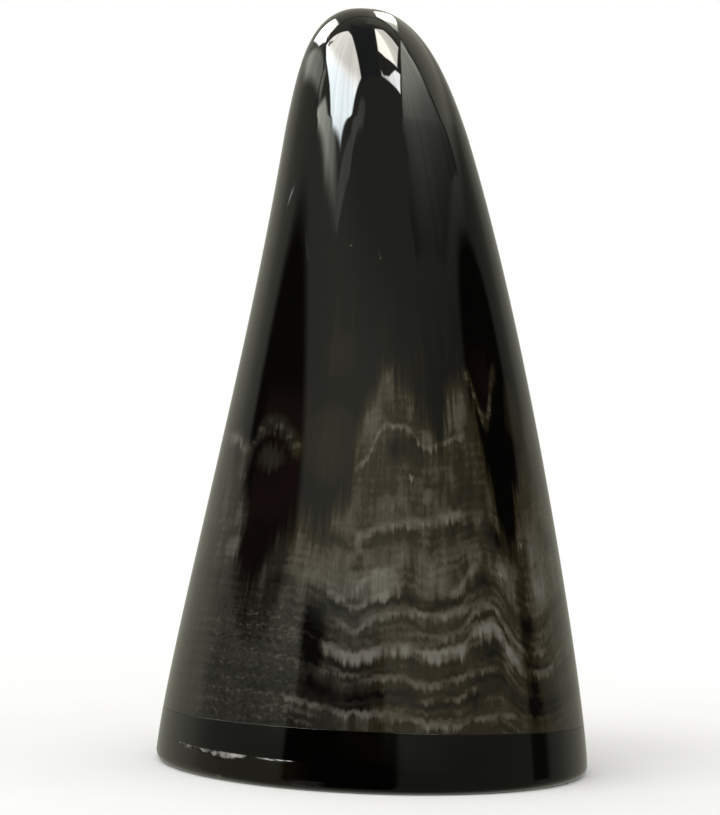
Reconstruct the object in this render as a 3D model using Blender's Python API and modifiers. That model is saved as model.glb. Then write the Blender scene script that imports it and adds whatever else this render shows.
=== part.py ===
"""Small polished shofar standing on its bell.

Three pieces share one axis: the bored horn, the black band that sits
round its spigot, and the rim ring that caps the spigot and meets the table.
The wide end is at z = 0, the crown with the blow hole is at the top, the
front faces -Y and the tip bows towards -X.  All sizes are in metres.
"""

import math

import bpy

# Horn, outside
HORN_HEIGHT = 0.0966
BELL_RADIUS = 0.0275
DOME_RADIUS = 0.0115
DOME_LENGTH = 0.0152
DOME_TAPER = 0.271
FOOT_EASE = 0.0098
FLANK_EASE = 0.0052
DOME_EASE = 0.0089
CROWN_EASE = 0.0066
TIP_BOW = 0.0045
BOW_POWER = 3.65

# Horn, inside
CAVITY_DEPTH = 0.0620
CAVITY_EASE = 0.0220
THROAT_EASE = 0.0160
THROAT_RADIUS = 0.0020
BLOW_FLARE = 0.0007
BLOW_FLARE_DEPTH = 0.0008

# Joint at the wide end
BAND_WALL = 0.0030
SPIGOT_WALL = 0.0030
GLUE_GAP = 0.0003

# Heights of the two rings at their middle, and the tilt of their tops:
# the rise is the height gained from the axis to the outside
RIM_HEIGHT = 0.0032
RIM_RISE_LEFT = 0.0004
BAND_HEIGHT = 0.0031
BAND_RISE_FRONT = 0.0009
BAND_RISE_LEFT = 0.0002
ROW_CLEARANCE = 0.0010

# Rim ring
RIM_FLOOR = 0.0009
RIM_ROUND = 0.0011
MOUTH_ROUND = 0.0004

# Fineness
TURN_STEPS = 72
FLANK_ROWS = 16
DOME_ROWS = 9
CAVITY_ROWS = 12
THROAT_ROWS = 5
ROUND_ROWS = 4

SPIGOT_RADIUS = BELL_RADIUS - BAND_WALL
BORE_RADIUS = SPIGOT_RADIUS - SPIGOT_WALL
BLOW_LIP_RADIUS = THROAT_RADIUS + BLOW_FLARE
DOME_START = HORN_HEIGHT - DOME_LENGTH
SEAM_HEIGHT = RIM_HEIGHT + BAND_HEIGHT
HORN_SHOULDER = SEAM_HEIGHT + 0.5 * GLUE_GAP
BAND_TOP = SEAM_HEIGHT - 0.5 * GLUE_GAP
BAND_BOTTOM = RIM_HEIGHT + 0.5 * GLUE_GAP
RIM_TOP = RIM_HEIGHT - 0.5 * GLUE_GAP
SPIGOT_END = RIM_FLOOR + GLUE_GAP


def bezier(p0, p1, p2, p3, rows):
    """Points of one cubic Bezier piece, both ends included."""
    points = []
    for row in range(rows + 1):
        t = row / rows
        s = 1.0 - t
        weights = (s * s * s, 3.0 * s * s * t, 3.0 * s * t * t, t * t * t)
        points.append(tuple(
            sum(w * p[axis] for w, p in zip(weights, (p0, p1, p2, p3)))
            for axis in (0, 1)))
    return points


def flank(rows):
    """Outside of the horn from the foot up to the start of the dome."""
    return bezier(
        (BELL_RADIUS, 0.0),
        (BELL_RADIUS, FOOT_EASE),
        (DOME_RADIUS + DOME_TAPER * FLANK_EASE, DOME_START - FLANK_EASE),
        (DOME_RADIUS, DOME_START),
        rows)


def dome(rows):
    """Outside of the horn from the start of the dome up to its crown."""
    return bezier(
        (DOME_RADIUS, DOME_START),
        (DOME_RADIUS - DOME_TAPER * DOME_EASE, DOME_START + DOME_EASE),
        (CROWN_EASE, HORN_HEIGHT),
        (0.0, HORN_HEIGHT),
        rows)


def crossing(points, axis, value):
    """Point where a polyline passes a value of its radius (0) or height (1)."""
    for a, b in zip(points, points[1:]):
        if min(a[axis], b[axis]) <= value <= max(a[axis], b[axis]):
            span = b[axis] - a[axis]
            t = (value - a[axis]) / span if span else 0.0
            return tuple(a[i] + t * (b[i] - a[i]) for i in (0, 1))
    raise ValueError("the outline does not reach that value")


FINE_FLANK = flank(200)


def outer_radius(height):
    """Radius of the horn's outside at a height near its foot."""
    return crossing(FINE_FLANK, 1, height)[0]


def band_tilt(x, y):
    """Height of the band's top above its middle level at a plan position."""
    return -(BAND_RISE_FRONT * y + BAND_RISE_LEFT * x) / BELL_RADIUS


def rim_tilt(x, y):
    """Height of the rim ring's top above its middle level at a plan position."""
    return -RIM_RISE_LEFT * x / BELL_RADIUS


def turned(name, outline):
    """Mesh of a closed outline turned about Z."""
    profile = bpy.data.meshes.new(name + "_profile")
    count = len(outline)
    profile.from_pydata(
        [(radius, 0.0, height) for radius, height in outline],
        [(i, (i + 1) % count) for i in range(count)],
        [])
    holder = bpy.data.objects.new(name + "_profile", profile)
    bpy.context.scene.collection.objects.link(holder)
    screw = holder.modifiers.new("Turn", "SCREW")
    screw.axis = "Z"
    screw.angle = math.tau
    screw.steps = TURN_STEPS
    screw.render_steps = TURN_STEPS
    screw.use_merge_vertices = True
    screw.merge_threshold = 0.00001
    depsgraph = bpy.context.evaluated_depsgraph_get()
    mesh = bpy.data.meshes.new_from_object(holder.evaluated_get(depsgraph))
    mesh.name = name
    bpy.data.objects.remove(holder)
    bpy.data.meshes.remove(profile)
    return mesh


def lay_on_seam(mesh, level, tilt):
    """Tip the rows at one level onto a seam, keeping the outside flush."""
    middle = SPIGOT_RADIUS + 0.5 * BAND_WALL
    for vertex in mesh.vertices:
        x, y, z = vertex.co
        if abs(z - level) > 0.1 * GLUE_GAP:
            continue
        radius = math.hypot(x, y)
        z += tilt(x, y)
        grow = outer_radius(z) / radius if radius > middle else 1.0
        vertex.co = (x * grow, y * grow, z)


def bow(mesh):
    """Lean the tip sideways along a smooth power curve."""
    for vertex in mesh.vertices:
        rise = max(vertex.co.z, 0.0) / HORN_HEIGHT
        vertex.co.x -= TIP_BOW * rise ** BOW_POWER


def horn_outline():
    """Bored horn: crown lip, outside, shoulder, spigot, cavity, throat."""
    seam_rise = math.hypot(BAND_RISE_FRONT, BAND_RISE_LEFT)
    clear_of_seam = HORN_SHOULDER + seam_rise + ROW_CLEARANCE
    lip = crossing(dome(8 * DOME_ROWS), 0, BLOW_LIP_RADIUS)
    outline = [lip]
    for point in reversed(dome(DOME_ROWS)):
        if point[0] > 1.15 * BLOW_LIP_RADIUS:
            outline.append(point)
    for point in reversed(flank(FLANK_ROWS)[:-1]):
        if point[1] > clear_of_seam:
            outline.append(point)
    outline.append((outer_radius(HORN_SHOULDER), HORN_SHOULDER))
    outline.append((SPIGOT_RADIUS, HORN_SHOULDER))
    outline.append((SPIGOT_RADIUS, SPIGOT_END))
    cavity = bezier(
        (BORE_RADIUS, SPIGOT_END),
        (BORE_RADIUS, SPIGOT_END + CAVITY_EASE),
        (THROAT_RADIUS, CAVITY_DEPTH - THROAT_EASE),
        (THROAT_RADIUS, CAVITY_DEPTH),
        CAVITY_ROWS)
    outline.extend(cavity)
    throat_end = lip[1] - BLOW_FLARE_DEPTH
    for row in range(1, THROAT_ROWS + 1):
        height = CAVITY_DEPTH + (throat_end - CAVITY_DEPTH) * row / THROAT_ROWS
        outline.append((THROAT_RADIUS, height))
    return outline


def band_outline():
    """Plain band between the two seams, round the spigot."""
    inner = SPIGOT_RADIUS + GLUE_GAP
    return [
        (inner, BAND_TOP),
        (outer_radius(BAND_TOP), BAND_TOP),
        (outer_radius(BAND_BOTTOM), BAND_BOTTOM),
        (inner, BAND_BOTTOM)]


def rim_outline():
    """Rim ring: rounded foot, flat underside, seat for the spigot's end."""
    seat = SPIGOT_RADIUS + GLUE_GAP
    outline = [(seat, RIM_TOP), (outer_radius(RIM_TOP), RIM_TOP)]
    foot_round = min(RIM_ROUND, 0.8 * (RIM_TOP - RIM_RISE_LEFT))
    centre = outer_radius(foot_round) - foot_round
    for row in range(ROUND_ROWS + 1):
        turn = 0.5 * math.pi * row / ROUND_ROWS
        outline.append((
            centre + foot_round * math.cos(turn),
            foot_round - foot_round * math.sin(turn)))
    outline.append((BORE_RADIUS + MOUTH_ROUND, 0.0))
    outline.append((BORE_RADIUS, MOUTH_ROUND))
    outline.append((BORE_RADIUS, RIM_FLOOR))
    outline.append((seat, RIM_FLOOR))
    return outline


def material(name, colour, roughness):
    """Plain shiny horn in one colour."""
    made = bpy.data.materials.new(name)
    made.use_nodes = True
    made.diffuse_color = (*colour, 1.0)
    shader = made.node_tree.nodes["Principled BSDF"]
    shader.inputs["Base Color"].default_value = (*colour, 1.0)
    shader.inputs["Roughness"].default_value = roughness
    shader.inputs["Metallic"].default_value = 0.0
    return made


def place(mesh, skin, parent, parts):
    """Object for a finished mesh, shaded smooth between its sharp edges."""
    mesh.materials.clear()
    mesh.materials.append(skin)
    mesh.shade_smooth()
    mesh.set_sharp_from_angle(angle=math.radians(35.0))
    made = bpy.data.objects.new(mesh.name, mesh)
    made.parent = parent
    parts.objects.link(made)
    return made


def main():
    for old in list(bpy.data.objects):
        bpy.data.objects.remove(old)
    parts = bpy.data.collections.new("shofar")
    bpy.context.scene.collection.children.link(parts)
    axis = bpy.data.objects.new("shofar_axis", None)
    axis.empty_display_size = HORN_HEIGHT
    parts.objects.link(axis)

    streaked_horn = material("streaked_horn", (0.030, 0.027, 0.022), 0.12)
    black_horn = material("black_horn", (0.010, 0.010, 0.009), 0.12)
    rim_horn = material("rim_horn", (0.016, 0.014, 0.012), 0.18)

    horn = turned("horn_body", horn_outline())
    lay_on_seam(horn, HORN_SHOULDER, band_tilt)
    bow(horn)
    place(horn, streaked_horn, axis, parts)

    band = turned("bell_band", band_outline())
    lay_on_seam(band, BAND_TOP, band_tilt)
    lay_on_seam(band, BAND_BOTTOM, rim_tilt)
    place(band, black_horn, axis, parts)

    rim = turned("rim_ring", rim_outline())
    lay_on_seam(rim, RIM_TOP, rim_tilt)
    place(rim, rim_horn, axis, parts)


if __name__ == "__main__":
    main()
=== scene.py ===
"""Dressed model of a small polished shofar standing on its bell.

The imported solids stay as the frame.  Each one is replaced by a finer piece
of the same place and size: the bowed horn, the black band round its wide
end and the rim ring it stands on.  Sizes are in metres unless a name says
otherwise; azimuth is in degrees, 0 towards the camera and positive to the
camera's right.
"""

import math

import bmesh
import bpy
from bpy.props import FloatProperty, FloatVectorProperty, IntProperty, PointerProperty
from bpy.types import Operator, Panel, PropertyGroup
from mathutils import Matrix, Vector
from mathutils.geometry import tessellate_polygon


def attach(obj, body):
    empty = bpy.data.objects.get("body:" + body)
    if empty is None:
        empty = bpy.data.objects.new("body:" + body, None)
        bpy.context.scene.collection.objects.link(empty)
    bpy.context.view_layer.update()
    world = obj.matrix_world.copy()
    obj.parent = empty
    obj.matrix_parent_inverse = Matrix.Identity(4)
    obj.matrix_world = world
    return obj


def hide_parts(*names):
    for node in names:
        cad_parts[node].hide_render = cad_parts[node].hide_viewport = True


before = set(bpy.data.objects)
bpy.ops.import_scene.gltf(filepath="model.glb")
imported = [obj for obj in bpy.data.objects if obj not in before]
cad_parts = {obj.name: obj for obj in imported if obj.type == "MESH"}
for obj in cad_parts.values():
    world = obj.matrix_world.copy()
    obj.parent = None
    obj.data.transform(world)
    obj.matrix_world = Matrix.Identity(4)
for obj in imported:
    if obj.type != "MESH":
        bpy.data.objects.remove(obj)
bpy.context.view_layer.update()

bl_info = {
    "name": "Polished Shofar",
    "version": (1, 0, 0),
    "blender": (4, 5, 0),
    "location": "View3D > Sidebar > Shofar",
    "description": "Builds a polished shofar with its band, its rim ring and a small studio",
    "category": "Object",
}

PHOTO_HEIGHT_PX = 815
MM = 0.001

# Rows along the outlines
FLANK_ROWS = 110
DOME_ROWS = 56
FLARE_ROWS = 8
CAVITY_ROWS = 40
THROAT_ROWS = 10
ROUND_ROWS = 4
FOOT_ROWS = 10
WALL_ROWS = 6
FINE_ROWS = 400

# Rows of the rim beside its lip, in mm inwards and downwards
LIP_REACHES = (0.9, 0.7, 0.55, 0.45, 0.35, 0.26, 0.18, 0.11, 0.05)
LIP_DROPS = (0.06, 0.12, 0.19, 0.27, 0.36, 0.46, 0.57, 0.70, 0.85, 1.05, 1.3, 1.6)

# Edges and joints of the pieces
HIDDEN_GAP = 0.0003
ROUND_PULL = 0.55
ROUND_BESIDE = 1.6
LIP_CLEAR = 1.08
SEAM_CLEAR = 4.0
FLARE_LOW = 0.3
FLARE_WIDE = 0.4
FLARE_HIGH = 0.05
TILT_RUN = 9.0 * MM
LIP_MARGIN = 0.0001
SHARP_ANGLE = math.radians(38.0)
UNDULATIONS_PER_METRE = 45.0

# Figure of the horn
HORN_IOR = 1.55
LINE_FADE = 3.0
LINE_CORE = 0.2
LINE_EDGE = 1.5
ROUND_MM = 22.0
BACK_TURN = 60.0
BACK_RISE = -20.0
DOT_ROWS_PER_MM = 0.66
DOT_TONE = 0.34
PLAIN_GROUND = 0.20
LAYERS_PER_MM = 0.85
LAYER_TONE = 0.09
STREAK_TONE = 0.07

# Areas of the finishes: where each starts, is full, starts to end and ends, in
# degrees round the horn and in mm up it
DOTS_AREA = ((-58, -50, -24, -16), (6.5, 7.5, 19, 24))
STREAK_AREA = ((-30, -24, 28, 34), (30, 44, 52, 66))
RED_AREAS = (
    ((-50, -45, -30, -26), (22, 26, 44, 49)),
    ((33, 37, 42, 46), (44, 46, 51, 54)))
SCUFF_AREA = ((-22, -19, -14, -11), (0.3, 0.6, 1.0, 1.3))
NICK_AREA = ((-43.2, -42.6, -41.8, -41.2), (0.2, 0.3, 0.55, 0.7))
RIM_BROWN = (-72, -58, -26, -14)

# Broken lip: grain of its chips and crumbs, the depth that shows in full, and from which azimuth
# to which the break turns from crumbled to whole, in its depth and in its paleness with the
# painted highlight on it
CHIPS_PER_METRE = 900.0
CRUMBS_PER_METRE = 9000.0
CHIP_SHOWS = 0.00030
WHOLE_DEPTH = (-50.0, -38.0, 0.1, 0.7)
WHOLE_CHIP_AND_HIGHLIGHT = (-44.0, -36.0, 0.1, 0.8)

# Studio
FOLDS_PER_DEGREE = 0.22
FOLD_SLANT = 0.12
FOLD_SHADE = (0.84, 1.06)
WARM_FROM = 36.0
WARM_FULL = 46.0
MITRE_LIMIT = 0.5
ROOM_RADIUS = 2.0
ROOM_TINT = (1.0, 1.0, 0.82)
MIDDLE_RISE = (5.0, 13.0)
HIGH_RISE = (25.0, 32.0)
OVAL_EDGE = (0.70, 1.15, 0.04, 1.0)
EDGE_DISTANCE = 1.05
EDGE_WIDTH = 1.6
EDGE_STRENGTH = 0.12
FLOOR_RADIUS = 4.0
FLOOR_FADE = (0.04, 0.18)
FLOOR_MOTTLE = 0.985
FLOOR_LEVEL = -0.00002
FILL_TINT = (1.0, 0.99, 0.97)
KEY_HEADING = (-50.0, 48.0)
KEY_DISTANCE = 1.2
KEY_SIZE = 0.7
SENSOR_WIDTH = 36.0

# Growth of the horn.  Azimuths are in degrees, heights in mm.  The warp is the
# rise of a growth line above its own level, the tone is the paleness of the
# ground by level, the top is where the pale figure ends and the gain is how
# strong it is round the horn.
GROWTH_WARP = (
    (-90, 1.2), (-70, 1.6), (-50, 2.0), (-30, 2.0), (-24, 1.8), (-20, 1.4),
    (-14, 0.3), (-10, -0.4), (-7, -1.0), (-4, -0.7), (0, -0.1), (4, 0.35),
    (7, 0.5), (10, 0.2), (14, -0.5), (18, 0.0), (22, 0.2), (26, 1.5),
    (30, 2.1), (34, 2.5), (38, 1.0), (42, -1.4), (46, -2.6), (50, -3.1),
    (54, -2.9), (58, -2.0), (64, -0.6), (75, 0.6), (90, 1.2))
GROWTH_TONE = (
    (6.0, 0.24), (8.0, 0.28), (9.2, 0.30), (10.2, 0.16), (11.4, 0.14), (12.2, 0.20),
    (13.2, 0.30), (14.2, 0.22), (15.2, 0.24), (16.6, 0.40), (17.6, 0.33), (18.4, 0.36),
    (19.3, 0.30), (20.0, 0.32), (21.0, 0.36), (22.2, 0.24), (23.2, 0.42), (25.0, 0.48),
    (27.0, 0.46), (28.3, 0.42), (29.6, 0.32), (31.2, 0.40), (32.5, 0.38), (34.0, 0.35),
    (36.0, 0.30), (38.5, 0.27), (42.0, 0.28), (50.0, 0.30), (56.0, 0.26))
FIGURE_TOP = (
    (-90, 38), (-66, 41), (-57, 40), (-51, 36), (-47, 27), (-42, 24), (-37, 27),
    (-31, 31), (-26, 32), (-20, 31), (-15, 33.5), (-10.5, 36), (-9, 42), (-7, 45.5),
    (-4, 48), (0, 50.5), (2, 51), (5, 49.5), (8, 48), (11, 47), (14, 44.5), (18, 43.5),
    (20, 41.8), (21, 44), (24, 46.5), (28, 48.5), (31, 49), (34, 47), (36, 41), (39, 36),
    (42, 31), (45, 30), (48, 35), (52, 38), (56, 42), (60, 44), (66, 46), (80, 40), (90, 34))
FIGURE_GAIN = (
    (-90, 0.70), (-66, 0.80), (-56, 0.90), (-50, 0.85), (-46, 0.85), (-30, 0.90),
    (-24, 1.0), (-18, 1.0), (36, 1.0), (44, 0.95), (50, 0.95), (57, 0.95), (66, 0.85),
    (90, 0.70))

# Growth lines drawn one by one: half width in mm, paleness added or taken
# away, and the path as azimuth and height
DRAWN_LINES = (
    (0.40, 0.24, ((-26, 10.6), (-15, 10.0), (-10, 9.5), (-7, 9.2), (0, 9.3), (5, 9.2),
                  (10, 8.8), (14, 8.1), (20, 7.9), (25, 8.7), (30, 8.9), (36, 9.0), (41, 8.5))),
    (0.45, 0.24, ((-16, 14.3), (-11, 13.9), (-7, 13.4), (-3, 13.3), (1, 13.4),
                  (5, 13.4), (9, 13.0), (13, 12.6), (17, 12.6), (20, 13.1), (24, 13.8),
                  (28, 14.1), (33, 14.5), (37, 14.2))),
    (0.45, 0.26, ((10, 10.4), (14, 11.0), (17, 11.2), (20, 11.0), (23, 11.5), (25, 12.1),
                  (29, 12.4))),
    (0.75, 0.46, ((-17, 17.3), (-15, 17.0), (-12, 16.5), (-10, 16.0), (-7, 15.5), (-4, 15.7),
                  (-1, 16.3), (3, 16.8), (7, 17.0), (10, 16.8), (13, 16.2), (15, 15.9),
                  (18, 16.4), (22, 16.7), (26, 17.6))),
    (0.90, 0.38, ((25, 18.2), (28, 19.2), (31, 19.4), (34, 19.3), (36, 18.6), (38, 17.4),
                  (40, 16.0), (42, 14.8), (45, 13.6))),
    (0.50, 0.34, ((-13, 19.8), (-10, 19.4), (-8, 18.9), (-6.5, 18.6), (-5, 19.1), (-2, 20.0),
                  (0, 20.5), (3, 20.9), (8, 21.2), (13, 21.0), (16, 20.7), (20, 21.0),
                  (24, 21.6), (27, 22.0))),
    (0.40, 0.22, ((7, 18.9), (12, 18.5), (15, 18.2), (19, 18.5), (22, 18.8), (25, 19.8),
                  (27, 20.6), (29, 20.9), (32, 20.8))),
    (0.50, 0.30, ((25, 20.7), (29, 21.6), (32, 22.0), (34, 21.8), (36, 20.9), (38, 19.6),
                  (41, 18.0), (44, 16.6), (48, 15.0))),
    (0.55, -0.22, ((26, 19.8), (30, 20.4), (33, 20.9), (35, 20.7), (37, 19.4), (40, 17.6),
                   (43, 16.6), (46, 15.4), (48, 14.9), (52, 14.7), (57, 15.1))),
    (0.50, 0.30, ((46, 14.4), (49, 13.8), (52, 13.6), (55, 13.9), (59, 14.8))),
    (0.50, -0.16, ((-17, 22.8), (-12, 21.6), (-9, 20.9), (-7, 20.4), (-5, 20.9), (-2, 21.5),
                   (0, 21.9), (3, 22.4), (8, 22.6), (12, 22.5), (15, 22.0), (18, 22.2),
                   (22, 22.5), (26, 23.0))),
    (0.60, 0.36, ((-16, 23.4), (-10, 22.1), (-7, 21.3), (-4, 22.1), (0, 22.8), (5, 23.4))),
    (0.60, 0.30, ((-9, 22.6), (-7, 23.2), (-5, 24.2), (-2, 25.3), (1, 25.9), (6, 26.5))),
    (0.60, 0.30, ((19, 22.9), (22, 23.3), (24, 24.0), (26, 25.2), (28, 26.0), (31, 26.6))),
    (0.60, 0.28, ((-9, 29.2), (-5, 30.0), (-2, 30.6), (2, 30.9), (6, 31.3), (10, 31.5),
                  (14, 31.8), (18, 32.1), (22, 32.4), (27, 33.3))),
    (0.80, -0.12, ((-21, 29.0), (-12, 29.2), (-7, 28.9), (0, 29.9), (6, 30.1), (12, 30.4),
                   (17, 30.6), (20, 31.0), (24, 31.4), (30, 32.0))),
    (0.40, 0.34, ((-10, 37.4), (-8.5, 37.8), (-6, 38.6), (-4, 39.8), (-3, 41.0), (-1, 42.2),
                  (1, 43.1), (3.5, 42.9), (7, 42.7), (10, 42.0), (12, 41.0), (15, 40.3),
                  (19, 40.9), (22, 41.3), (25, 41.8), (30, 42.4))),
    (1.10, 0.34, ((30, 49.5), (33, 49.2), (35, 47.6), (36.5, 45.8), (38, 44.3), (39.5, 43.9),
                  (41, 45.2), (43, 47.0), (45, 49.0), (49, 50.8))),
    (1.40, 0.27, ((-51, 40.9), (-47, 42.1), (-43, 42.6), (-38, 42.3), (-34, 41.4), (-31, 40.3),
                  (-27, 39.4))),
    (1.00, 0.34, ((-80, 41.2), (-66, 40.8), (-60, 40.6), (-54, 39.8), (-48, 40.2))),
    (0.80, 0.12, ((-78, 30.8), (-60, 30.5), (-50, 31.2), (-45, 31.6))))

# Paler and darker spots: azimuth, height, half width in degrees, half height
# in mm and paleness added or taken away
DRAWN_SPOTS = (
    (-7, 15.7, 6, 1.1, 0.32), (-11, 16.6, 4, 1.0, 0.18), (14.5, 16.1, 3.4, 1.3, 0.38),
    (22.5, 16.6, 1.5, 1.3, 0.28), (40, 16.2, 5, 2.4, 0.24), (33, 19.0, 6, 1.4, 0.20),
    (16, 8.1, 6, 0.9, 0.28), (-5, 9.3, 9, 0.8, 0.08), (2, 24.3, 6, 2.2, 0.34),
    (-5, 24.0, 5, 1.6, 0.10), (-14, 25.2, 8, 2.8, 0.05), (-21, 24.4, 6, 1.5, 0.16),
    (-20, 27.0, 7, 2.2, -0.06), (14.5, 25.6, 5, 3.0, 0.12), (-7, 29.0, 1.6, 2.0, 0.26),
    (22.5, 32.5, 3, 1.2, 0.26), (14.5, 34.6, 2.2, 1.6, 0.24), (3, 34.0, 4, 1.4, 0.14),
    (-4, 44.2, 4.5, 3.4, 0.18), (-8, 42.0, 2.0, 3.6, 0.12), (1, 47.6, 4, 3.0, 0.16),
    (27, 45.6, 6, 4.0, 0.26), (14, 41.5, 4, 1.6, 0.22), (9, 45.5, 3, 2.4, 0.12),
    (56, 26.0, 6, 6.0, 0.26), (53.5, 24.0, 3.0, 1.6, 0.24), (52, 16.2, 3.4, 0.9, 0.30),
    (54, 18.6, 5, 1.0, 0.12), (-51, 27.6, 5, 1.8, 0.30), (-57, 12.2, 4, 2.0, 0.16),
    (-44, 12.2, 3, 1.2, 0.14), (-64, 41.0, 8, 1.4, 0.24), (-41, 38.6, 8, 1.8, 0.24),
    (-40, 41.0, 5, 1.0, -0.15), (-54, 38.0, 5, 3.0, 0.24), (-50, 31.0, 4, 5.0, 0.22),
    (-60, 34.0, 5, 4.0, 0.12), (55, 45.0, 6, 5.0, 0.16), (40, 26.0, 2.2, 1.2, 0.26),
    (0, 22.6, 2.5, 0.8, 0.22), (-18, 40.5, 13, 6.0, 0.10), (-17, 51.5, 8, 4.0, 0.05),
    (9, 37.0, 0.8, 0.4, 0.60), (38.6, 25.5, 1.0, 0.4, 0.50), (48, 28.9, 1.6, 0.35, 0.50),
    # The two small pale specks and the fine line near 64 to 65 mm are dust and a scratch, their
    # brightness partly a painted glint
    (-14.6, 65.1, 0.9, 0.16, 0.70), (-2, 63.6, 0.9, 0.16, 0.60), (-17, 65.0, 1.6, 0.10, 0.25),
    (32, 16.5, 6, 1.7, -0.18), (27, 10.8, 4, 1.2, -0.14), (5.5, 11.6, 7, 1.7, -0.10),
    (6, 40.2, 8, 2.0, -0.18), (19, 45.4, 3, 4.0, -0.20), (46.5, 42.0, 4, 6.0, -0.34),
    (43.5, 32.5, 3.5, 4.0, -0.26), (32.5, 25.6, 3.4, 2.4, -0.22), (35.5, 29.5, 4, 4.6, -0.24),
    (8, 25.0, 4, 3.0, -0.14), (25.5, 30.6, 6, 1.6, -0.12), (55, 10.0, 6, 3.0, -0.16),
    (-15, 11.8, 7, 2.2, -0.08), (-18, 18.2, 5, 5.5, -0.40), (-4, 11.3, 8, 1.5, -0.10),
    (-12, 21.4, 7, 1.2, -0.14), (-2, 18.3, 5, 0.9, -0.12),
    (-7, 26.2, 2.4, 1.6, -0.20), (24, 26.0, 5, 2.4, -0.12), (46.5, 21.0, 3.0, 9.0, -0.30),
    (47.5, 11.0, 3.6, 4.0, -0.22), (30, 35.0, 6, 3.4, -0.16), (39, 28.6, 4, 2.0, -0.14))

# Depth of the broken lip of the rim round the horn as a share of the deepest, and how pale the
# break is; that paleness is partly the broken horn's own colour and partly a painted highlight,
# brightest near -37 degrees
CHIP_SHARE = (
    (-66, 0.0), (-60, 0.40), (-55, 0.70), (-50, 0.80), (-46, 0.85), (-41, 0.80),
    (-38, 0.66), (-36.5, 0.56), (-34, 0.34), (-32.8, 0.06), (-31.6, 0.05), (-30.5, 0.20),
    (-27, 0.26), (-23, 0.22), (-19, 0.0))
CHIP_AND_HIGHLIGHT_TONE = (
    (-62, 0.40), (-55, 0.40), (-50, 0.25), (-46, 0.34), (-41, 0.60), (-37, 0.85),
    (-33, 0.70), (-31, 0.26), (-25, 0.24), (-20, 0.10))

# Studio cards.  Places are azimuth and elevation in degrees, seen from the horn.
CARD_CENTRE = (0.0, 0.0, 0.05)
SKY = (0.88, 0.97, 1.0)
PLAIN = (1.0, 1.0, 1.0)
MOSS = (1.0, 1.0, 0.86)
LEAF = (0.97, 1.0, 0.86)
CREAM = (1.0, 0.97, 0.88)
EDGE_PATH = (
    (-90, 26), (-88, 33), (-109, 43), (-110, 57), (-133, 67), (180, 72), (130, 65),
    (103, 59), (95, 50), (96, 39), (107, 27))

# Each card: name, distance, soft edge, tint low and high, strength by elevation,
# share by azimuth, corners
CARDS = (
    ("left_box", 1.2, 1.0, (SKY, CREAM), ((26, 17), (38, 20), (46, 13), (66, 13)), 1.0,
     ((-101, 40), (-97, 48), (-74, 65), (-54, 64), (-20, 44), (-36, 33), (-48, 28), (-60, 27),
      (-71, 32), (-88, 36))),
    ("left_bar", 1.15, 0.8, (PLAIN, PLAIN), 1.6, 1.0,
     ((-97, 41), (-98, 44), (-81, 51), (-60, 54), (-70, 48), (-84, 43))),
    ("left_skirt", 1.4, 1.4, (LEAF, LEAF), 1.0,
     ((-88, 5.6), (-71, 4.8), (-58, 2.4), (-50, 1.0), (-40, 0.9), (-21, 0.9), (-14, 0.6)),
     ((-88, 26), (-76, 30), (-66, 29), (-48, 27), (-37, 30), (-21, 40), (-14, 40), (-18, 33),
      (-36, 29), (-50, 25), (-66, 24), (-82, 23))),
    ("left_high", 1.3, 2.0, (SKY, CREAM), ((24, 8), (30, 18), (47, 16), (58, 5)), 1.0,
     ((-146, 25), (-148, 45), (-117, 58), (-109, 50), (-105, 40), (-118, 33))),
    ("left_side", 1.6, 3.0, (LEAF, LEAF), ((14, 0.4), (20, 0.5), (25, 0.9), (36, 0.7)),
     ((-166, 0.8), (-139, 1.6), (-121, 2.4), (-80, 2.4)),
     ((-166, 14), (-139, 25), (-110, 36), (-80, 35), (-83, 26), (-126, 20))),
    ("top_flag", 1.45, 1.5, (SKY, SKY), 0.22, 1.0,
     ((-97, 70), (-60, 80), (44, 81), (15, 67), (14, 52), (12, 47), (-19, 42), (-43, 59))),
    ("right_box", 1.2, 1.0, (CREAM, CREAM), 1.0, ((13, 18), (43, 20), (52, 12), (86, 9)),
     ((50, 81), (85, 74), (78, 58), (50, 51), (31, 56), (17, 60))),
    ("right_low", 1.2, 0.6, (PLAIN, PLAIN), 1.0, ((14, 6), (26, 12), (31, 16), (52, 17)),
     ((15, 51), (19, 49), (29, 49), (44, 51), (52, 49), (42, 44), (26, 47), (15, 48))),
    ("right_high", 1.3, 2.0, (MOSS, MOSS), 1.0, ((118, 3), (137, 5), (156, 16), (175, 16)),
     ((175, 47), (171, 30), (118, 58), (120, 64), (162, 65))),
    ("right_sheer", 1.6, 1.2, (LEAF, LEAF),
     ((26, 0.1), (29, 0.2), (32, 0.4), (35, 0.7), (38, 1.1), (48, 3.4), (58, 4.2)),
     ((30, 0.42), (56, 1.0), (108, 1.0)),
     ((103, 58), (94, 51), (97, 38), (108, 26), (80, 28), (64, 27), (33, 29), (30, 32), (36, 35),
      (33, 37), (54, 49))),
    ("small_glint", 1.0, 0.15, (SKY, SKY), 4.0, 1.0, ((-117, 16), (-107, 18), (-113, 17))),
    ("edge_streak", 1.0, 0.08, (SKY, SKY), 0.6, 1.0, ((-85, 20.6), (-73, 21.5), (-78, 21))))

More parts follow.
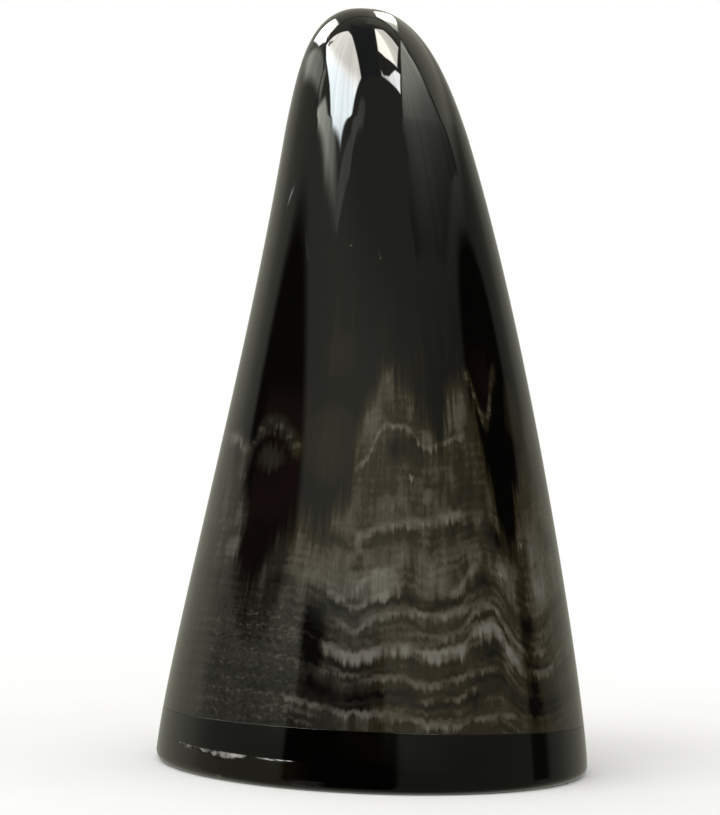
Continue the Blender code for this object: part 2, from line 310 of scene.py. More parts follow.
# Light of the walls by azimuth: near the floor, at the middle and overhead
ROOM_LOW = (
    (-180, 0.40), (-120, 0.40), (-95, 0.22), (-50, 0.20), (0, 0.15), (90, 0.15), (130, 0.28),
    (180, 0.40))
ROOM_MIDDLE = (
    (-180, 0.50), (-135, 0.45), (-112, 0.31), (-60, 0.39), (-16, 0.46), (13, 0.36), (60, 0.18),
    (115, 0.14), (135, 0.30), (180, 0.50))
ROOM_HIGH = (
    (-180, 0.60), (-110, 0.40), (-60, 0.32), (-10, 0.27), (70, 0.28), (125, 0.80), (150, 0.80),
    (180, 0.60))

# Black flags: azimuth, elevation, half width, half height and lean
OVAL_FLAGS = ((-84, 16.2, 27, 6.2, -1.5), (92, 20, 21, 8, 1.0))
# Square flags: how dark, then where each starts, is full, starts to end and ends,
# in azimuth and in elevation
SQUARE_FLAGS = (
    (0.95, (-49, -46, 11, 15), (-60, -59, 9, 11)),
    (0.93, (-46, -42, 3, 8), (5, 7, 15.5, 17.5)),
    (0.80, (91, 94, 103, 109), (-7, -5, 10, 13)))


def length(name, description, default):
    """Length property in metres."""
    return FloatProperty(
        name=name, description=description, default=default, unit="LENGTH", precision=5)


def colour(name, description, default):
    """Colour property."""
    return FloatVectorProperty(
        name=name, description=description, default=default, subtype="COLOR", size=3,
        min=0.0, max=1.0)


class ShofarSizes(PropertyGroup):
    """Lengths of the turned pieces."""

    height: length("Height", "Height of the crown before the blow hole is cut", 0.0966)
    bell_radius: length("Bell radius", "Outside radius at the foot", 0.0275)
    dome_radius: length("Dome radius", "Radius where the dome starts", 0.0115)
    dome_length: length("Dome length", "Height of the dome", 0.0152)
    dome_taper: FloatProperty(
        name="Dome taper", description="Radius lost per length where the dome starts",
        default=0.271)
    foot_ease: length("Foot ease", "How long the flank stays upright at the foot", 0.0098)
    flank_ease: length("Flank ease", "How long the flank keeps the dome's taper", 0.0052)
    dome_ease: length("Dome ease", "How long the dome keeps the flank's taper", 0.0089)
    crown_ease: length("Crown ease", "How far the crown stays level", 0.0066)
    tip_bow: length("Tip bow", "Sideways lean of the tip", 0.0045)
    bow_power: FloatProperty(
        name="Bow power", description="How late the lean sets in", default=3.65)
    cavity_depth: length("Cavity depth", "Height where the bore narrows to the throat", 0.0620)
    cavity_ease: length("Cavity ease", "How long the bore stays wide", 0.0220)
    throat_ease: length("Throat ease", "How long the bore eases into the throat", 0.0160)
    throat_radius: length("Throat radius", "Radius of the blown channel", 0.0020)
    blow_flare: length("Blow flare", "Widening of the blow hole at the crown", 0.0007)
    blow_flare_depth: length("Blow flare depth", "Depth of that widening", 0.0008)
    band_wall: length("Band wall", "Thickness of the band", 0.0030)
    spigot_wall: length("Spigot wall", "Thickness of the horn inside the band", 0.0030)
    seam_height: length("Seam height", "Height of the joint of horn and band", 0.0063)
    rim_height: length("Rim height", "Height of the joint of band and rim", 0.0032)
    band_rise_front: length("Band rise front", "Rise of the upper joint at the front", 0.0009)
    band_rise_left: length("Band rise left", "Rise of the upper joint at the left", 0.0002)
    rim_rise_left: length("Rim rise left", "Rise of the lower joint at the left", 0.0004)
    rim_floor: length("Rim floor", "Height of the seat inside the rim", 0.0009)
    rim_round: length("Rim round", "Rounding of the rim's outer foot", 0.0011)
    mouth_round: length("Mouth round", "Rounding of the mouth's edge", 0.0004)
    edge_round: length("Edge round", "Rounding of the edges at the upper joint", 0.00002)
    hairline: length("Hairline", "Opening of the upper joint", 0.00003)
    tight_line: length("Tight line", "Opening of the lower joint", 0.000004)
    undulation: length("Undulation", "Hand polished unevenness of the outside", 0.00002)
    chip_depth: length("Chip depth", "Deepest chip along the rim's lip", 0.0011)
    turn_steps: IntProperty(
        name="Turn steps", description="Steps round the horn", default=288, min=24)
    rim_steps: IntProperty(
        name="Rim steps", description="Steps round the rim", default=720, min=24)


class ShofarColours(PropertyGroup):
    """Colours of the finishes."""

    dark_horn: colour("Dark horn", "Plain body of the horn", (0.0012, 0.0011, 0.0010))
    brown_horn: colour("Brown horn", "Half pale growth", (0.025, 0.0195, 0.0090))
    grey_horn: colour("Grey horn", "Half pale growth low on the left", (0.021, 0.0195, 0.0140))
    pale_horn: colour("Pale horn", "Palest growth lines", (0.130, 0.122, 0.102))
    red_horn: colour("Red horn", "Red brown cast of the dark body", (0.0060, 0.0032, 0.0027))
    bored_horn: colour("Bored horn", "Dull inside of the bore", (0.030, 0.021, 0.014))
    black_band: colour("Black band", "Band", (0.0004, 0.0004, 0.0003))
    brown_rim: colour("Brown rim", "Rim ring", (0.0040, 0.0028, 0.0014))
    # Pale colour of the broken edge, made bright so that it also stands in for a painted highlight
    # on the edge
    broken_rim_and_highlight: colour("Chipped rim", "Broken edge of the rim", (0.66, 0.64, 0.60))
    floor: colour("Floor", "Pale floor", (0.92, 0.92, 0.915))


class ShofarStudio(PropertyGroup):
    """Camera and light."""

    camera_place: FloatVectorProperty(
        name="Camera place", description="Where the camera stands", size=3,
        default=(-0.00313, -0.300, 0.04061), subtype="TRANSLATION", unit="LENGTH")
    camera_pitch: FloatProperty(
        name="Camera pitch", description="Upward turn of the camera",
        default=math.radians(0.91), subtype="ANGLE")
    camera_roll: FloatProperty(
        name="Camera roll", description="Turn of the camera about its own axis",
        default=math.radians(2.11), subtype="ANGLE")
    focal_px: FloatProperty(
        name="Focal length", description="Focal length in pixels of the picture",
        default=2340.0)
    fill: FloatProperty(
        name="Fill", description="Strength of the even light", default=0.93)
    key: FloatProperty(
        name="Key", description="Power of the soft key lamp", default=4.0, unit="POWER")


def bezier(p0, p1, p2, p3, rows):
    """Points of one cubic Bezier piece, both ends included."""
    points = []
    for row in range(rows + 1):
        t = row / rows
        s = 1.0 - t
        weights = (s * s * s, 3.0 * s * s * t, 3.0 * s * t * t, t * t * t)
        points.append(tuple(
            sum(w * p[axis] for w, p in zip(weights, (p0, p1, p2, p3)))
            for axis in (0, 1)))
    return points


def flank(sizes, rows):
    """Outside of the horn from the foot up to the start of the dome."""
    start = sizes.height - sizes.dome_length
    return bezier(
        (sizes.bell_radius, 0.0),
        (sizes.bell_radius, sizes.foot_ease),
        (sizes.dome_radius + sizes.dome_taper * sizes.flank_ease, start - sizes.flank_ease),
        (sizes.dome_radius, start),
        rows)


def dome(sizes, rows):
    """Outside of the horn from the start of the dome up to its crown."""
    start = sizes.height - sizes.dome_length
    return bezier(
        (sizes.dome_radius, start),
        (sizes.dome_radius - sizes.dome_taper * sizes.dome_ease, start + sizes.dome_ease),
        (sizes.crown_ease, sizes.height),
        (0.0, sizes.height),
        rows)


def crossing(points, axis, value):
    """Point where a polyline passes a value of its radius (0) or height (1)."""
    for a, b in zip(points, points[1:]):
        if min(a[axis], b[axis]) <= value <= max(a[axis], b[axis]):
            span = b[axis] - a[axis]
            t = (value - a[axis]) / span if span else 0.0
            return tuple(a[i] + t * (b[i] - a[i]) for i in (0, 1))
    raise ValueError("the outline does not reach that value")


def outer_radius(sizes, height):
    """Radius of the horn's outside at a height near its foot."""
    return crossing(flank(sizes, FINE_ROWS), 1, height)[0]


def rounded(corner, back, ahead, radius, rows):
    """Small round in place of a corner, with a row beside it to keep its neighbours flat."""
    middle = Vector(corner)
    back_way = (Vector(back) - middle).normalized() * radius
    ahead_way = (Vector(ahead) - middle).normalized() * radius
    first = middle + back_way
    last = middle + ahead_way
    pulls = [end.lerp(middle, ROUND_PULL) for end in (first, last)]
    turn = bezier(first, *pulls, last, rows)
    beside = [tuple(middle + ROUND_BESIDE * way) for way in (back_way, ahead_way)]
    return [beside[0], *turn, beside[1]]


def straight(first, last, rows):
    """Points between two ends of a straight run, without the first."""
    return [
        tuple(a + (b - a) * row / rows for a, b in zip(first, last))
        for row in range(1, rows + 1)]


def horn_outline(sizes):
    """Outside of the horn and its bore as two lists of points."""
    seam = sizes.seam_height + 0.5 * sizes.hairline
    spigot = sizes.bell_radius - sizes.band_wall
    bore = spigot - sizes.spigot_wall
    spigot_end = sizes.rim_floor + HIDDEN_GAP
    lip_radius = sizes.throat_radius + sizes.blow_flare
    lip = crossing(dome(sizes, 2 * FINE_ROWS), 0, lip_radius)
    outside = []
    for point in reversed(dome(sizes, DOME_ROWS)):
        if point[0] > LIP_CLEAR * lip_radius:
            outside.append(point)
    for point in reversed(flank(sizes, FLANK_ROWS)[:-1]):
        if point[1] > seam + SEAM_CLEAR * sizes.edge_round:
            outside.append(point)
    corner = (outer_radius(sizes, seam), seam)
    outside.extend(rounded(corner, outside[-1], (spigot, seam), sizes.edge_round, ROUND_ROWS))
    outside.append((spigot, seam))
    outside.append((spigot, spigot_end))
    inside = bezier(
        (bore, spigot_end),
        (bore, spigot_end + sizes.cavity_ease),
        (sizes.throat_radius, sizes.cavity_depth - sizes.throat_ease),
        (sizes.throat_radius, sizes.cavity_depth),
        CAVITY_ROWS)
    throat_end = (sizes.throat_radius, lip[1] - sizes.blow_flare_depth)
    inside.extend(straight(inside[-1], throat_end, THROAT_ROWS))
    inside.extend(bezier(
        throat_end,
        (sizes.throat_radius, lip[1] - FLARE_LOW * sizes.blow_flare_depth),
        (sizes.throat_radius + FLARE_WIDE * sizes.blow_flare,
         lip[1] + FLARE_HIGH * sizes.blow_flare_depth),
        lip,
        FLARE_ROWS)[1:])
    return outside, inside


def band_outline(sizes):
    """Plain band between its two joints, round the spigot."""
    inner = sizes.bell_radius - sizes.band_wall + HIDDEN_GAP
    top = sizes.seam_height - 0.5 * sizes.hairline
    low = sizes.rim_height + 0.5 * sizes.tight_line
    top_corner = (outer_radius(sizes, top), top)
    low_corner = (outer_radius(sizes, low), low)
    points = [(inner, top)]
    points.extend(rounded(top_corner, (inner, top), low_corner, sizes.edge_round, ROUND_ROWS))
    for row in range(1, WALL_ROWS):
        height = top + (low - top) * row / WALL_ROWS
        points.append((outer_radius(sizes, height), height))
    points.append(low_corner)
    points.append((inner, low))
    return points, []


def rim_outline(sizes):
    """Rim ring: fine rows at its lip, rounded foot, flat underside, seat for the spigot."""
    spigot = sizes.bell_radius - sizes.band_wall
    seat = spigot + HIDDEN_GAP
    bore = spigot - sizes.spigot_wall
    top = sizes.rim_height - 0.5 * sizes.tight_line
    corner = (outer_radius(sizes, top), top)
    foot_round = sizes.rim_round
    points = [(seat, top)]
    for reach in LIP_REACHES:
        points.append((corner[0] - reach * MM, top))
    points.append(corner)
    for drop in LIP_DROPS:
        height = top - drop * MM
        points.append((outer_radius(sizes, height), height))
    centre = outer_radius(sizes, foot_round) - foot_round
    for row in range(FOOT_ROWS + 1):
        turn = 0.5 * math.pi * row / FOOT_ROWS
        points.append((
            centre + foot_round * math.cos(turn), foot_round - foot_round * math.sin(turn)))
    mouth = (bore, 0.0)
    points.extend(rounded(
        mouth, points[-1], (bore, sizes.rim_floor), sizes.mouth_round, ROUND_ROWS))
    points.append((bore, sizes.rim_floor))
    points.append((seat, sizes.rim_floor))
    return points, []


class Signal:
    """Value of a node tree that takes plain arithmetic."""

    def __init__(self, bench, socket):
        self.bench = bench
        self.socket = socket

    def __add__(self, other):
        return self.bench.math("ADD", self, other)

    def __sub__(self, other):
        return self.bench.math("SUBTRACT", self, other)

    def __rsub__(self, other):
        return self.bench.math("SUBTRACT", other, self)

    def __mul__(self, other):
        return self.bench.math("MULTIPLY", self, other)

    def __truediv__(self, other):
        return self.bench.math("DIVIDE", self, other)

    __radd__ = __add__
    __rmul__ = __mul__


class NodeBench:
    """Short way to add nodes to a tree and wire them up."""

    def __init__(self, tree):
        self.tree = tree

    def node(self, kind, **settings):
        """New node with its settings."""
        made = self.tree.nodes.new(kind)
        for name, value in settings.items():
            setattr(made, name, value)
        return made

    def wire(self, value, socket):
        """Link a signal or a socket, or set the plain value."""
        if isinstance(value, Signal):
            value = value.socket
        if isinstance(value, bpy.types.NodeSocket):
            self.tree.links.new(value, socket)
        else:
            socket.default_value = value

    def fill(self, made, **values):
        """Wire a node's inputs by name, with _ for the spaces."""
        for name, value in values.items():
            self.wire(value, made.inputs[name.replace("_", " ")])
        return made

    def give(self, made, *values):
        """Wire a node's inputs in their order."""
        for socket, value in zip(made.inputs, values):
            self.wire(value, socket)
        return made

    def feed(self, made, *values):
        """Wire a node's inputs in their order and take its first output."""
        return Signal(self, self.give(made, *values).outputs[0])

    def named(self, made):
        """Outputs of a node by name."""
        return {socket.name: Signal(self, socket) for socket in made.outputs}

    def source(self, kind, output, **settings):
        """One output of a node that needs no input."""
        return Signal(self, self.node(kind, **settings).outputs[output])

    def math(self, operation, *values, clamp=False):
        """One step of arithmetic."""
        made = self.node("ShaderNodeMath", operation=operation, use_clamp=clamp)
        return self.feed(made, *values)

    def vector_math(self, operation, *values):
        """One step of vector arithmetic."""
        made = self.give(self.node("ShaderNodeVectorMath", operation=operation), *values)
        return Signal(self, made.outputs["Value" if operation == "LENGTH" else "Vector"])

    def scaled(self, vector, factor):
        """Vector made longer or shorter."""
        made = self.node("ShaderNodeVectorMath", operation="SCALE")
        return self.feed(self.fill(made, Scale=factor), vector)

    def ramp(self, value, low, high, to_low=0.0, to_high=1.0, smooth=True):
        """Value run from one range to another, held at the ends."""
        made = self.node(
            "ShaderNodeMapRange", clamp=True,
            interpolation_type="SMOOTHSTEP" if smooth else "LINEAR")
        return self.feed(made, value, low, high, to_low, to_high)

    def window(self, value, start, rise, fall, end):
        """Mask that is 1 between rise and fall and fades to 0 at start and end."""
        return self.ramp(value, start, rise) * self.ramp(value, fall, end, 1.0, 0.0)

    def patch(self, turn, rise, area):
        """Mask of an area given as one window round the horn and one up it."""
        return self.window(turn, *area[0]) * self.window(rise, *area[1])

    def oval(self, turn, rise, middle, level, half_width, half_height):
        """Squared distance from the middle of an oval, 1 on its edge."""
        across = (turn - middle) / half_width
        along = (rise - level) / half_height
        return along * along + across * across

    def split(self, vector):
        """The three parts of a vector."""
        made = self.give(self.node("ShaderNodeSeparateXYZ"), vector)
        return [Signal(self, part) for part in made.outputs]

    def join(self, x, y, z):
        """Vector of three parts."""
        return self.feed(self.node("ShaderNodeCombineXYZ"), x, y, z)

    def noise(self, vector, scale, detail=2.0, roughness=0.5, seed=0.0):
        """Smooth noise from 0 to 1."""
        made = self.node("ShaderNodeTexNoise", noise_dimensions="4D")
        self.fill(
            made, Vector=vector, W=seed, Scale=scale, Detail=detail, Roughness=roughness)
        return Signal(self, made.outputs[0])

    def table(self, value, pairs):
        """Curve through pairs of input and output, in their own units."""
        starts, ends = zip(*pairs)
        low, high = min(starts), max(starts)
        floor, top = min(ends), max(ends)
        made = self.node("ShaderNodeFloatCurve")
        curve = made.mapping.curves[0]
        spots = [((x - low) / (high - low), (y - floor) / (top - floor)) for x, y in pairs]
        curve.points[0].location = spots[0]
        curve.points[1].location = spots[-1]
        for spot in spots[1:-1]:
            curve.points.new(*spot)
        for point in curve.points:
            point.handle_type = "AUTO_CLAMPED"
        made.mapping.update()
        self.fill(made, Value=self.ramp(value, low, high, smooth=False))
        return self.ramp(made.outputs[0], 0.0, 1.0, floor, top, smooth=False)

    def blend(self, factor, first, second):
        """Mix of two colours."""
        made = self.node("ShaderNodeMix", data_type="RGBA", clamp_factor=True)
        self.wire(factor, made.inputs[0])
        for value, socket in ((first, made.inputs[6]), (second, made.inputs[7])):
            self.wire(value if isinstance(value, Signal) else (*value, 1.0), socket)
        return Signal(self, made.outputs[2])

    def mix_shader(self, factor, first, second):
        """Mix of two shaders."""
        return self.feed(self.node("ShaderNodeMixShader"), factor, first, second)

    def place(self):
        """Place on the object."""
        return self.source("ShaderNodeTexCoord", "Object")

    def attribute(self, name):
        """Number stored on the mesh."""
        return self.source("ShaderNodeAttribute", "Fac", attribute_name=name)

    def seen(self):
        """1 for what the camera, a gloss or a clear thing looks at, else 0."""
        path = self.named(self.node("ShaderNodeLightPath"))
        direct = path["Is Camera Ray"] + path["Is Glossy Ray"]
        return self.math("ADD", direct, path["Is Transmission Ray"], clamp=True)

    def use(self, group, **values):
        """Place a node group, wire its inputs by name and give its outputs by name."""
        made = self.node(self.tree.bl_idname.replace("Tree", "Group"), node_tree=group)
        return self.named(self.fill(made, **values))


NUMBER = "NodeSocketFloat"
VECTOR = "NodeSocketVector"
SHAPE = "NodeSocketGeometry"
SKIN = "NodeSocketMaterial"


def open_group(name, kind, inputs, outputs):
    """New node group: its bench, what it is given and its result."""
    tree = bpy.data.node_groups.new(name, kind)
    for direction, sockets in (("INPUT", inputs), ("OUTPUT", outputs)):
        for label, socket_type, *default in sockets:
            made = tree.interface.new_socket(label, in_out=direction, socket_type=socket_type)
            if default:
                made.default_value = default[0]
    bench = NodeBench(tree)
    given = bench.named(bench.node("NodeGroupInput"))
    return bench, given, bench.node("NodeGroupOutput")


def numbers(*labels):
    """Plain number sockets of a group."""
    return [(label, NUMBER, 0.0) for label in labels]


def compass(bench, x, y):
    """Azimuth in degrees of a place."""
    return bench.math("DEGREES", bench.math("ARCTAN2", x, y * -1.0))


def bow_lean(bench, given, level):
    """Sideways lean of the horn's axis at a level."""
    part = bench.math("MAXIMUM", level, 0.0) / given["Height"]
    return bench.math("POWER", part, given["Bow Power"]) * given["Tip Bow"]


def captured(bench, shape, kind, label, value):
    """A shape that carries a value along, and that value."""
    made = bench.node("GeometryNodeCaptureAttribute", domain="POINT")
    made.capture_items.new(kind, label)
    carrier = bench.feed(made, shape, value)
    return carrier, Signal(bench, made.outputs[1])


def close_tree(bench, shape, skin, result):
    """End of a tree: plain geometry with its material."""
    real = bench.feed(bench.node("GeometryNodeRealizeInstances"), shape)
    made = bench.fill(bench.node("GeometryNodeSetMaterial"), Geometry=real, Material=skin)
    bench.give(result, made.outputs[0])
    return bench.tree


def turning_tree():
    """Geometry Nodes tree that turns an outline, tips its joints and bows it."""
    bench, given, result = open_group(
        "turned_horn", "GeometryNodeTree",
        [("Outline", SHAPE), ("Turn Steps", "NodeSocketInt", 64)]
        + numbers(
            "Bell Radius", "Height", "Tip Bow", "Bow Power", "Low Level", "High Level",
            "Low Rise Front", "Low Rise Left", "High Rise Front", "High Rise Left",
            "Inner Radius", "Foot Slope", "Undulation", "Undulation Scale", "Seed")
        + [("Skin", SKIN)],
        [("Turned", SHAPE)])
    outline = bench.fill(bench.node("GeometryNodeMeshToCurve"), Mesh=given["Outline"])
    profile, point = captured(
        bench, outline.outputs[0], "VECTOR", "Outline Point",
        bench.source("GeometryNodeInputPosition", 0))
    circle = bench.node("GeometryNodeCurvePrimitiveCircle", mode="RADIUS")
    bench.fill(circle, Resolution=given["Turn Steps"], Radius=given["Bell Radius"])
    way, turn = captured(
        bench, circle.outputs["Curve"], "FLOAT", "Turn",
        bench.source("GeometryNodeSplineParameter", "Factor"))
    swept = bench.fill(bench.node("GeometryNodeCurveToMesh"), Curve=way, Profile_Curve=profile)

    radius, level, _ = bench.split(point)
    angle = turn * math.tau
    across = bench.math("COSINE", angle)
    along = bench.math("SINE", angle)
    plan_x = radius * across
    plan_y = radius * along

    def tilt(joint):
        """Height of a tipped joint above its middle."""
        tipped = given[joint + " Rise Front"] * plan_y + given[joint + " Rise Left"] * plan_x
        return tipped / (given["Bell Radius"] * -1.0)

    low = tilt("Low")
    share = bench.ramp(level, given["Low Level"], given["High Level"])
    outer = bench.math("GREATER_THAN", radius, given["Inner Radius"])
    rise = ((tilt("High") - low) * share + low) * outer
    new_level = level + rise
    wave = bench.noise(
        bench.join(plan_x, plan_y, level), given["Undulation Scale"], detail=1.0,
        seed=given["Seed"])
    wave = (wave * 2.0 - 1.0) * given["Undulation"]
    new_radius = radius - rise * given["Foot Slope"] + wave
    place = bench.join(
        new_radius * across - bow_lean(bench, given, new_level), new_radius * along, new_level)
    moved = bench.fill(
        bench.node("GeometryNodeSetPosition"), Geometry=swept.outputs[0], Position=place)
    return close_tree(bench, moved.outputs[0], given["Skin"], result)


def chipping_tree():
    """Geometry Nodes tree that breaks a lip away between two azimuths."""
    bench, given, result = open_group(
        "chipped_lip", "GeometryNodeTree",
        [("Ring", SHAPE)]
        + numbers(
            "Lip Radius", "Lip Level", "Lip Rise Left", "Bell Radius", "Chip Depth", "Grain",
            "Seed")
        + [("Skin", SKIN)],
        [("Chipped", SHAPE)])
    place = bench.source("GeometryNodeInputPosition", 0)
    x, y, z = bench.split(place)
    azimuth = compass(bench, x, y)
    flat = bench.join(x, y, 0.0)
    top = given["Lip Level"] - x * given["Lip Rise Left"] / given["Bell Radius"]
    ragged = bench.noise(place, given["Grain"], detail=3.0, roughness=0.6, seed=given["Seed"])
    ragged = bench.ramp(ragged, 0.30, 0.72, 0.10, 1.0)
    ragged = ragged + (1.0 - ragged) * bench.ramp(azimuth, *WHOLE_DEPTH)
    depth = bench.table(azimuth, CHIP_SHARE) * ragged * given["Chip Depth"]
    inset = (given["Lip Radius"] - bench.vector_math("LENGTH", flat)) + (top - z)
    missing = bench.math("MAXIMUM", depth - inset, 0.0)
    crumb = bench.noise(place, CRUMBS_PER_METRE, detail=1.0, seed=given["Seed"]) * 0.20 + 0.25
    inward = bench.scaled(bench.vector_math("NORMALIZE", flat), missing * crumb * -1.0)
    moved = bench.fill(
        bench.node("GeometryNodeSetPosition"), Geometry=given["Ring"], Offset=inward)
    marked = bench.node("GeometryNodeStoreNamedAttribute", data_type="FLOAT", domain="POINT")
    bench.fill(
        marked, Geometry=moved.outputs[0], Name="chipped",
        Value=bench.ramp(missing, 0.0, CHIP_SHOWS))
    return close_tree(bench, marked.outputs[0], given["Skin"], result)


def tree_named(name, maker):
    """A tree by name, built the first time it is asked for."""
    return bpy.data.node_groups.get(name) or maker()


def run_tree(holder, tree, values):
    """Put a tree on an object with its named inputs set."""
    sockets = {
        item.name: item.identifier for item in tree.interface.items_tree
        if item.in_out == "INPUT"}
    modifier = holder.modifiers.new(tree.name, "NODES")
    modifier.node_group = tree
    for name, value in values.items():
        modifier[sockets[name]] = value


def place_object(name, data):
    """New object in the scene."""
    made = bpy.data.objects.new(name, data)
    bpy.context.scene.collection.objects.link(made)
    return made


def make_piece(name, outline, steps):
    """Object of an outline taken through its trees, as a plain closed mesh."""
    outside, inside = outline
    points = outside + inside
    count = len(points)
    profile = bpy.data.meshes.new(name + "_outline")
    profile.from_pydata(
        [(radius, height, 0.0) for radius, height in points],
        [(i, (i + 1) % count) for i in range(count)],
        [])
    bored = profile.attributes.new("bored", "FLOAT", "POINT")
    bored.data.foreach_set("value", [0.0] * len(outside) + [1.0] * len(inside))
    holder = place_object(name + "_outline", profile)
    for tree, values in steps:
        run_tree(holder, tree, values)
    depsgraph = bpy.context.evaluated_depsgraph_get()
    mesh = bpy.data.meshes.new_from_object(holder.evaluated_get(depsgraph))
    mesh.name = name
    bpy.data.objects.remove(holder)
    bpy.data.meshes.remove(profile)
    if not mesh.polygons:
        raise RuntimeError(name + " came out empty")
    shell = bmesh.new()
    shell.from_mesh(mesh)
    bmesh.ops.recalc_face_normals(shell, faces=shell.faces)
    shell.to_mesh(mesh)
    shell.free()
    mesh.shade_smooth()
    mesh.set_sharp_from_angle(angle=SHARP_ANGLE)
    return place_object(name, mesh)


def turning_step(sizes, skin, steps, **levels):
    """The turning tree with what all the pieces share and the levels of one."""
    low = outer_radius(sizes, sizes.seam_height - MM)
    high = outer_radius(sizes, sizes.seam_height + MM)
    values = {
        "Turn Steps": steps,
        "Bell Radius": sizes.bell_radius,
        "Height": sizes.height,
        "Tip Bow": sizes.tip_bow,
        "Bow Power": sizes.bow_power,
        "Foot Slope": (low - high) / (2.0 * MM),
        "Undulation": sizes.undulation,
        "Undulation Scale": UNDULATIONS_PER_METRE,
        "Seed": 3.0,
        "Skin": skin,
    }
    for name, value in levels.items():
        values[name.replace("_", " ")] = value
    return tree_named("turned_horn", turning_tree), values


def plan_group():
    """Shader group: place on the horn as azimuth, height in mm and unit round."""
    bench, given, result = open_group(
        "horn_plan", "ShaderNodeTree", numbers("Height", "Tip Bow", "Bow Power"),
        [("Azimuth", NUMBER), ("Height mm", NUMBER), ("Round", VECTOR), ("Behind", NUMBER),
         ("Place", VECTOR)])
    place = bench.place()
    x, y, z = bench.split(place)
    straight_x = x + bow_lean(bench, given, z)
    unit = bench.vector_math("NORMALIZE", bench.join(straight_x, y, 0.0))
    unit_x, unit_y, _ = bench.split(unit)
    sideways = bench.math("MINIMUM", bench.math("MAXIMUM", unit_x, -1.0), 1.0)
    azimuth = bench.math("DEGREES", bench.math("ARCSINE", sideways))
    bench.give(result, azimuth, z * (1.0 / MM), unit, bench.ramp(unit_y, -0.1, 0.4), place)
    return bench.tree


def fibre_group():
    """Shader group: fibres that run along the horn."""
    bench, given, result = open_group(
        "horn_fibre", "ShaderNodeTree",
        [("Round", VECTOR)] + numbers("Height mm", "Count", "Drift", "Seed"),
        [("Coarse", NUMBER), ("Fine", NUMBER)])
    upward = bench.join(0.0, 0.0, given["Height mm"] * given["Drift"])
    threads = []
    for factor, seed in ((1.0, 0.0), (2.6, 7.0)):
        spun = bench.scaled(given["Round"], given["Count"] * factor)
        thread = bench.noise(
            bench.vector_math("ADD", spun, upward), 1.0, seed=given["Seed"] + seed)
        threads.append(bench.ramp(thread, 0.25, 0.75, smooth=False))
    bench.give(result, *threads)
    return bench.tree


def wear_group():
    """Shader group: polish haze, fine scratches and dust specks."""
    bench, given, result = open_group(
        "handling_wear", "ShaderNodeTree",
        [("Place", VECTOR)] + numbers("Haze", "Scratch", "Seed"),
        [("Dulling", NUMBER), ("Relief", NUMBER)])
    place = given["Place"]
    seed = given["Seed"]
    haze = bench.ramp(bench.noise(place, 130.0, detail=3.0, seed=seed), 0.45, 0.75) * given["Haze"]
    cell = bench.node("ShaderNodeTexVoronoi", feature="F1")
    bench.fill(cell, Vector=place, Scale=260.0, Randomness=1.0)
    rare = bench.math("GREATER_THAN", bench.split(cell.outputs["Color"])[0], 0.86)
    speck = bench.ramp(cell.outputs["Distance"], 0.035, 0.06, 1.0, 0.0) * rare
    bent = bench.node("ShaderNodeMapping", vector_type="POINT")
    bench.fill(bent, Vector=place, Rotation=(0.4, 0.9, 0.2), Scale=(1.0, 0.14, 1.0))
    lines = bench.node("ShaderNodeTexVoronoi", feature="DISTANCE_TO_EDGE")
    bench.fill(lines, Vector=bent.outputs[0], Scale=420.0, Randomness=1.0)
    patchy = bench.ramp(bench.noise(place, 210.0, seed=seed + 4.0), 0.58, 0.70)
    scratch = bench.ramp(lines.outputs["Distance"], 0.0, 0.012, 1.0, 0.0)
    scratch = scratch * patchy * given["Scratch"]
    bench.give(result, haze + scratch * 0.12 + speck * 0.3, speck - scratch * 0.6)
    return bench.tree


def new_material(name):
    """New material and its bench."""
    made = bpy.data.materials.new(name)
    made.use_nodes = True
    return made, NodeBench(made.node_tree)


def open_material(name, sizes, count, drift, seed):
    """New horn material: its bench, its shader, its place and its fibres."""
    made, bench = new_material(name)
    plan = bench.use(
        tree_named("horn_plan", plan_group), Height=sizes.height, Tip_Bow=sizes.tip_bow,
        Bow_Power=sizes.bow_power)
    fibres = bench.use(
        tree_named("horn_fibre", fibre_group), Round=plan["Round"],
        Height_mm=plan["Height mm"], Count=count, Drift=drift, Seed=seed)
    shader = made.node_tree.nodes["Principled BSDF"]
    shader.inputs["IOR"].default_value = HORN_IOR
    return made, bench, shader, plan, fibres


def wear(bench, plan, haze, scratch, seed):
    """Wear of one finish."""
    return bench.use(
        tree_named("handling_wear", wear_group), Place=plan["Place"], Haze=haze,
        Scratch=scratch, Seed=seed)


def finish_shader(bench, shader, tone, rough, relief, strength, distance):
    """Colour, roughness and bump of a shader."""
    bump = bench.node("ShaderNodeBump")
    bench.fill(bump, Strength=strength, Distance=distance, Height=relief)
    bench.fill(shader, Base_Color=tone, Roughness=rough, Normal=bump.outputs[0])


def drawn_line(bench, azimuth, height, line):
    """Soft line along a path of azimuth and height that fades at its ends."""
    half, paleness, path = line
    off = bench.math("ABSOLUTE", height - bench.table(azimuth, path))
    core = bench.ramp(off, LINE_CORE * half, LINE_EDGE * half, paleness, 0.0)
    first = path[0][0]
    last = path[-1][0]
    return core * bench.window(azimuth, first, first + LINE_FADE, last - LINE_FADE, last)


def drawn_spot(bench, azimuth, height, spot):
    """Soft oval spot."""
    *oval, paleness = spot
    return bench.ramp(bench.oval(azimuth, height, *oval), 0.0, 1.0, paleness, 0.0)


